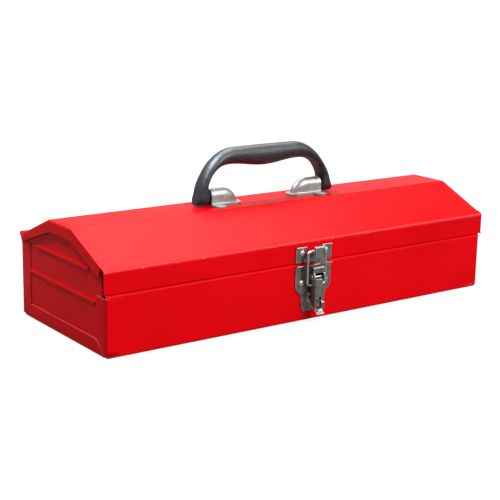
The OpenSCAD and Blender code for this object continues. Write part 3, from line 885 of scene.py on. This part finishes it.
def cubic(a, b, c, d, s):
    """Point at s, from 0 to 1, of the Bezier curve from a to d that b and c pull."""
    a, b, c, d = (Vector(p) for p in (a, b, c, d))
    return (1 - s) ** 3 * a + 3 * (1 - s) ** 2 * s * b + 3 * (1 - s) * s * s * c + s ** 3 * d


def foot_flare(s, reach, run):
    """A swelling of the given reach at the foot, which fades out over the given run."""
    return reach * math.cos(math.pi / 2 * s / run) ** 2 if s < run else 0.0


def outer_line(s):
    """Outside of the grip from the foot (0) over the shoulder (1) to the middle (2)."""
    if s >= 1:
        return Vector((SHOULDER_OUT * (2 - s), CROWN - 0.2 * (2 - s) ** 2))
    top = CROWN - 0.2
    line = cubic((73.4, FOOT_Z), (72, 120), (54.5, top), (SHOULDER_OUT, top), s)
    return line + Vector((foot_flare(s, 1.4, 0.16), 0))


def inner_line(s):
    """Inside of the grip from the foot (0) over the shoulder (1) to the middle (2)."""
    if s >= 1:
        dip = (1 + math.cos(math.pi * (s - 1))) / 2
        return Vector((SHOULDER_IN * (2 - s), PALM_Z + (SHOULDER_Z - PALM_Z) * dip))
    line = cubic((67.8, FOOT_Z), (61.3, 124), (49.5, SHOULDER_Z), (SHOULDER_IN, SHOULDER_Z), s)
    return line - Vector((foot_flare(s, 5.4, 0.24), 0))


def grip_depth(s):
    """Half the grip's thickness from front to back."""
    below = max(0.0, HANDLE.y - min(outer_line(s).y, inner_line(s).y))
    return min(7.9 + 0.6 * min(s, 1) ** 2, math.sqrt(SWING ** 2 - below ** 2))


def leaned(x, y, z):
    """Tips a point of the upright handle back about its pivots."""
    up = z - HANDLE.y
    cos, sin = math.cos(LEAN), math.sin(LEAN)
    return Vector((x, y * cos + up * sin, HANDLE.y + up * cos - y * sin))


def grip_ring(s, side, shrink=1.0, drop=0.0, sides=40):
    """The grip's cross-section at s, which is fuller than an ellipse near the foot."""
    out, inn = outer_line(s), inner_line(s)
    middle, half = (out + inn) / 2, (out - inn).length / 2
    direction = (out - inn).normalized()
    depth = grip_depth(s)
    power = 1 / (1 + foot_flare(s, 0.9, 0.45))
    ring = []
    for k in range(sides):
        a = 2 * math.pi * k / sides
        c = math.copysign(abs(math.cos(a)) ** power, math.cos(a)) * half * shrink
        d = math.copysign(abs(math.sin(a)) ** power, math.sin(a)) * depth * shrink
        p = middle + direction * c
        ring.append(leaned(side * p.x, -d, p.y - drop))
    return ring


def handle_grip():
    """The moulded grip, with rounded feet and a boss round each pivot."""
    stations = [0.002, 0.008, 0.016, 0.026, 0.038, 0.052] + [0.07 + 0.93 * k / 40 for k in range(41)]
    stations += [1 + k / 26 for k in range(1, 27)]
    ends = [(0.55, 0.62), (0.8, 0.5), (0.93, 0.28)]
    rings = [grip_ring(0, 1, shrink, drop) for shrink, drop in ends]
    rings += [grip_ring(s, 1) for s in stations]
    rings += [grip_ring(s, -1) for s in stations[-2::-1]]
    rings += [grip_ring(0, -1, shrink, drop) for shrink, drop in ends[::-1]]
    piece = Piece()
    piece.tube(rings)
    for side in (-1, 1):
        boss = [(0.1, 0), (4.72, 0), (4.72, 4.6), (4.2, 5), (0.1, 5)]
        piece.lathe(boss, (side * 64.4, 0, HANDLE.y), (-side, 0, 0))
    piece.build("handle_grip_moulding", "handle", ["handle_grip"], "handle_plastic", PLASTIC, 0, 50)


def handle_core():
    """Steel strap inside the grip, with round pivots that run in the brackets."""
    foot_z = HANDLE.y - STRAP_BELOW
    path = [(-69.6, foot_z, 0), (-66, 119, 18), (-47, STRAP_TOP, 16), (47, STRAP_TOP, 16), (66, 119, 18),
            (69.6, foot_z, 0)]
    line = rounded(path, 10)
    piece = Piece()
    piece.skin([[leaned(p.x, y, p.y) for y in (-4.2, 4.2)] for p in line], 2.2)
    for side in (-1, 1):
        pivot_pin = [(0.1, 0), (4.4, 0), (4.4, 22), (3.8, 22.6), (0.1, 22.6)]
        piece.lathe(pivot_pin, (side * 68.8, 0, HANDLE.y), (-side, 0, 0))
    piece.build("handle_core_strap", "handle", ["handle_core"], "pin_steel", STEEL, 0.2)


# ---- latch ----

PLATE = 1.2
PLATE_MID = FRONT - PLATE / 2
PLATE_FACE = FRONT - PLATE
LATCH_HALF = 19.3
LEVER_FACE = FRONT - 10
LEVER_T = 1.0
LUG_X = 4.9
HOUSING_HALF = 5.8
HOUSING_Y = FRONT - 8.8
HOUSING_Z = (43.6, 48.6)
RIVET_X = 13.0
BASE_RIVET_Z = 34
KEEPER_RIVET_Z = 60.6
STAPLE_HALF = 1.5
STAPLE_Z = (13.4, 20.4)
STAPLE_FACE = box("latch_base_plate")[0].y
SLOT_HALF = 2.5
SLOT_Z = (10.6, 22.0)
EAR_IN = 8.6
HOOK_HALF = 5.2


def base_plate():
    """Plate with its top edge folded out, a hood and two lugs for the lever, and a staple for a padlock."""
    piece = Piece()
    top = LID_EDGE - 2.5
    side = rounded([(7, 8.6, 0), (10.6, 8.6, 1.8), (12.2, 14, 5), (13.6, 24, 3), (LATCH_HALF, 29.6, 2.5),
                    (LATCH_HALF, 40, 0)], 6)[1:]
    fold = rounded([(PLATE_MID, 40, 0), (PLATE_MID, top, 0.9), (FRONT - 2.9, top, 0)], 6)
    rows = [[Vector((half * u / 4, PLATE_MID, z)) for u in range(-4, 5)] for half, z in side]
    rows += [[Vector((LATCH_HALF * u / 4, p.x, p.y)) for u in range(-4, 5)] for p in fold[1:]]
    piece.skin(rows, PLATE)
    low, high = HOUSING_Z
    hood = [(PLATE_MID, high, 0), (HOUSING_Y, high, 1.2), (HOUSING_Y, low, 0)]
    piece.skin(sheet_rows(rounded(hood), [0.15 - HOUSING_HALF, HOUSING_HALF - 0.15]), PLATE)
    lug = arc(FULCRUM, 4, 180, 270, 8)
    lug += [Vector(p) for p in ((PLATE_MID, FULCRUM.y - 4), (PLATE_MID, high), (HOUSING_Y, high),
                                (HOUSING_Y, low), (FULCRUM.x - 3.6, low - 1.4))]
    for side in (-1, 1):
        near, far = sorted((side * LUG_X, side * HOUSING_HALF))
        piece.plate(lug, lambda a, b, d: Vector((d, a, b)), near, far)
    loop = [(PLATE_MID, STAPLE_Z[0] + 0.6, 0), (STAPLE_FACE + 0.6, STAPLE_Z[0] + 0.6, 1.4),
            (STAPLE_FACE + 0.6, STAPLE_Z[1] - 0.6, 1.4), (PLATE_MID, STAPLE_Z[1] - 0.6, 0)]
    piece.skin(sheet_rows(rounded(loop), [-STAPLE_HALF, STAPLE_HALF]), PLATE)
    # Its bevels take the lighter plate, a painted highlight along the edges
    piece.build("latch_base_stamping", "box", ["latch_base_plate"], "latch_steel", NICKEL, 0.34,
                edge_material=NICKEL_EDGE_HIGHLIGHT, clamp=False)


def front_rivets(name, body, node, z, head):
    """Two rivets through the front at height z, whose head is (radius, height)."""
    piece = Piece()
    for x in (-RIVET_X, RIVET_X):
        piece.lathe(dome_profile(*head), (x, PLATE_FACE + 0.02, z), (0, -1, 0))
        piece.lathe(tail_profile(), (x, FRONT + SHEET - 0.02, z), (0, 1, 0))
    piece.build(name, body, [node], "plated_steel", RIVET, 0.06)


def fulcrum_pin():
    """The lever's pin, with a peened head on each side of the lugs."""
    piece = Piece()
    reach = HOUSING_HALF + 0.1
    piece.lathe([(0.1, -reach), (1.5, -reach), (1.5, reach), (0.1, reach)], (0, *FULCRUM), (1, 0, 0))
    for side in (-1, 1):
        head = [(0.02, 0.8), (1.2, 0.78), (2.1, 0.55), (2.5, 0.2), (2.5, 0), (0.02, 0)]
        piece.lathe(head, (side * reach, *FULCRUM), (side, 0, 0))
    piece.build("latch_fulcrum_pin_peened", "box", ["latch_fulcrum_pin"], "pin_steel", STEEL, 0.05)


def keeper():
    """Plate on the lid's front flange: two ears folded out at the top, and between them the bail's hook."""
    low, high = box("latch_keeper")
    ear_top = EAVE - 5.3
    shelf, crest = 59.8, high.z - PLATE / 2
    plate = [Vector((PLATE_MID, z)) for z in steps_between(low.z, shelf - 1.1, 1.6)]
    ear = rounded([(PLATE_MID, shelf - 1.1, 0), (PLATE_MID, 60.4, 0), (PLATE_MID, ear_top, 1.0),
                   (FRONT - 2.5, ear_top, 0)], 6)[1:]
    hook = rounded([(PLATE_MID, shelf - 1.1, 0), (PLATE_MID, shelf, 1), (FRONT - 7.9, shelf, 1.0),
                    (FRONT - 7.9, crest, 0.8), (FRONT - 9.6, crest, 0.8), (FRONT - 9.9, 52.6, 0)], 6)[1:]
    columns = [-LATCH_HALF, -14, -EAR_IN, -HOOK_HALF - 0.1, -HOOK_HALF, 0]
    columns += [-x for x in columns[-2::-1]]
    rows = [[Vector((x, p.x, p.y)) for x in columns] for p in plate]
    for i in range(len(hook)):
        row = []
        for x in columns:
            if abs(x) <= HOOK_HALF:
                row.append(Vector((x, hook[i].x, hook[i].y)))
            elif abs(x) < EAR_IN:
                row.append(Vector((x, ear[0].x, ear[0].y)) if i == 0 else None)
            else:
                row.append(Vector((x, ear[i].x, ear[i].y)) if i < len(ear) else None)
        rows.append(row)
    piece = Piece()
    piece.skin(rows, PLATE)
    # Its bevels take the lighter plate, a painted highlight along the edges
    piece.build("latch_keeper_stamping", "lid", ["latch_keeper"], "latch_steel", NICKEL, 0.34,
                edge_material=NICKEL_EDGE_HIGHLIGHT, clamp=False)


def lever():
    """A channel with a flared lip: the front tapers, and the sides fold back to the pins."""
    piece = Piece()
    face = LEVER_FACE + LEVER_T / 2
    top = FULCRUM.y + 1.1
    section = [(face + 1.0, top, 0), (face, top, 0.8), (face, 11, 3), (face - 3.1, 7.4, 0)]
    slot_low, slot_high = SLOT_Z
    line = finer(rounded(section), 1.5)
    line = sorted([p for p in line if p.y < FULCRUM.y] + [Vector((face, z)) for z in (slot_low, slot_high)],
                  key=lambda p: -p.y)
    sides_from = 12.5
    rows = []
    for p in line:
        half = interp(p.y, [8, 16, 33, 40], [5.3, 4.7, 4.4, 4.1]) - LEVER_T / 2
        depth = interp(p.y, [12.4, 12.5, 14, 22, 30.2, 38.5], [0.4, 1.4, 3.9, 4.5, 6.2, 6.2])
        bend = 0.7
        right = [SLOT_HALF, half - bend]
        corner = [Vector((half - bend + bend * math.sin(a), p.x + bend * (1 - math.cos(a))))
                  for a in (math.pi / 8 * k for k in range(1, 5))]
        channel = p.y > sides_from
        points = [Vector((x, p.x, p.y)) for x in right]
        points += [Vector((c.x, c.y, p.y)) if channel else None for c in corner]
        points.append(Vector((half, p.x + max(depth, bend + 0.1), p.y)) if channel else None)
        left = [None if q is None else Vector((-q.x, q.y, q.z)) for q in points[::-1]]
        rows.append(left + points)
    middle = len(rows[0]) // 2 - 1

    def in_slot(i, j):
        z = (rows[i][middle].z + rows[i + 1][middle].z) / 2
        return j == middle and slot_low < z < slot_high

    piece.skin(rows, LEVER_T, skip=in_slot)
    # Its bevels take the lighter plate, a painted highlight along the edges
    piece.build("latch_lever_channel", "lever", ["latch_lever"], "latch_steel", NICKEL, 0.28,
                edge_material=NICKEL_EDGE_HIGHLIGHT, clamp=False)


def bail():
    """Round wire bent to a loop, its two ends turned in through the lever's sides."""
    low, high = box("latch_bail")
    radius = (high.y - low.y) / 2
    half, top = high.x - radius, high.z - radius
    loop = [(3.2, BAIL.y, 0), (half, BAIL.y, 2.6), (half, top, 2.6), (0, top, 0)]
    side = rounded(loop, 10)
    right = [Vector((p.x, BAIL.x, p.y)) for p in side]
    left = [Vector((-p.x, BAIL.x, p.y)) for p in side[-2::-1]]
    piece = Piece()
    piece.wire(right + left, radius)
    piece.build("latch_bail_wire", "bail", ["latch_bail"], "latch_steel", STEEL, 0, 60)


# ---- studio ----

def camera():
    """The camera stands to the left of the front, a little above the box."""
    azimuth, elevation, roll = math.radians(-36.19), math.radians(13.99), math.radians(1.19)
    distance, aim_right, aim_up = 1130.1, 10.3, -44.8
    back = Vector((math.sin(azimuth) * math.cos(elevation), -math.cos(azimuth) * math.cos(elevation),
                   math.sin(elevation)))
    right = Vector((math.cos(azimuth), math.sin(azimuth), 0))
    up = back.cross(right)
    right, up = right * math.cos(roll) + up * math.sin(roll), up * math.cos(roll) - right * math.sin(roll)
    place = (back * distance - right * aim_right - up * aim_up) * MM
    data = bpy.data.cameras.new("camera")
    data.sensor_width = 36
    data.lens = 88.85
    data.clip_start, data.clip_end = 0.05, 20
    seen = bpy.data.objects.new("camera", data)
    turn = Matrix((right, up, back)).transposed().to_4x4()
    seen.matrix_world = Matrix.Translation(place) @ turn
    bpy.context.scene.collection.objects.link(seen)
    bpy.context.scene.camera = seen


def lamp(name, place, aim, size, watts, colour=(1, 1, 1), gloss_only=False):
    """An oblong lamp, its place and size in metres. A gloss_only one lights nothing but highlights."""
    data = bpy.data.lights.new(name, "AREA")
    data.shape = "RECTANGLE"
    data.size, data.size_y = size
    data.energy = watts
    data.color = colour
    light = bpy.data.objects.new(name, data)
    light.location = place
    light.rotation_euler = (Vector(aim) - Vector(place)).to_track_quat("-Z", "Y").to_euler()
    light.visible_diffuse = not gloss_only
    bpy.context.scene.collection.objects.link(light)


def sky():
    """White all round, brighter upwards, with levels of its own for glossy and for camera rays."""
    world = bpy.data.worlds.new("studio")
    world.use_nodes = True
    tree = world.node_tree
    background = tree.nodes["Background"]
    background.inputs["Color"].default_value = (1, 1, 1, 1)
    split = tree.nodes.new("ShaderNodeSeparateXYZ")
    tree.links.new(tree.nodes.new("ShaderNodeTexCoord").outputs["Generated"], split.inputs[0])
    levels = []
    for horizon, zenith in ((0.04, 0.58), (0.28, 1.1)):
        level = tree.nodes.new("ShaderNodeMapRange")
        tree.links.new(split.outputs["Z"], level.inputs["Value"])
        level.inputs["To Min"].default_value = horizon
        level.inputs["To Max"].default_value = zenith
        levels.append(level.outputs[0])
    rays = tree.nodes.new("ShaderNodeLightPath").outputs
    blend, final = tree.nodes.new("ShaderNodeMix"), tree.nodes.new("ShaderNodeMix")
    tree.links.new(rays["Is Glossy Ray"], blend.inputs[0])
    tree.links.new(levels[0], blend.inputs[2])
    tree.links.new(levels[1], blend.inputs[3])
    tree.links.new(rays["Is Camera Ray"], final.inputs[0])
    tree.links.new(blend.outputs[0], final.inputs[2])
    final.inputs[3].default_value = 1.1
    tree.links.new(final.outputs[0], background.inputs["Strength"])
    bpy.context.scene.world = world


def key_light():
    """A soft sun from the front, above and to the right."""
    key = bpy.data.lights.new("key", "SUN")
    key.energy = 3.4
    key.angle = math.radians(45)
    sun = bpy.data.objects.new("key", key)
    sun.rotation_euler = Vector((1.1, -2.6, 2.1)).to_track_quat("Z", "Y").to_euler()
    bpy.context.scene.collection.objects.link(sun)


def floor():
    reach = 30
    corners = [(-reach, -reach, 0), (reach, -reach, 0), (reach, reach, 0), (-reach, reach, 0)]
    mesh = bpy.data.meshes.new("floor")
    mesh.from_pydata(corners, [], [(0, 1, 2, 3)])
    mesh.materials.append(pale_floor())
    ground = bpy.data.objects.new("floor", mesh)
    bpy.context.scene.collection.objects.link(ground)


def studio():
    sky()
    key_light()
    centre = (0, 0, 0.06)
    lamp("steep_side", (-0.62, 0.5, 1.4), centre, (0.26, 0.26), 20)
    lamp("cool_side", (-0.5, 0.32, 1.2), (0, 0, 0.12), (0.7, 0.6), 34, (0.6, 0.82, 1), gloss_only=True)
    lamp("roof_gloss", (0.3, 0.3, 1.0), centre, (0.6, 0.6), 12, gloss_only=True)
    lamp("back_gloss", (0.95, 1.3, 0.5), centre, (1.2, 0.5), 0.9, gloss_only=True)
    floor()
    bpy.context.scene.view_settings.view_transform = "Standard"


# ---- the whole object ----

body_shell()
end_panels()
hinge()
lid_shell()
brackets()
handle_grip()
handle_core()
base_plate()
front_rivets("latch_base_rivet_heads", "box", "latch_base_rivets", BASE_RIVET_Z, (3.2, 1.5))
fulcrum_pin()
keeper()
front_rivets("latch_keeper_rivet_heads", "lid", "latch_keeper_rivets", KEEPER_RIVET_Z, (2.8, 1.3))
lever()
bail()

studio()
camera()
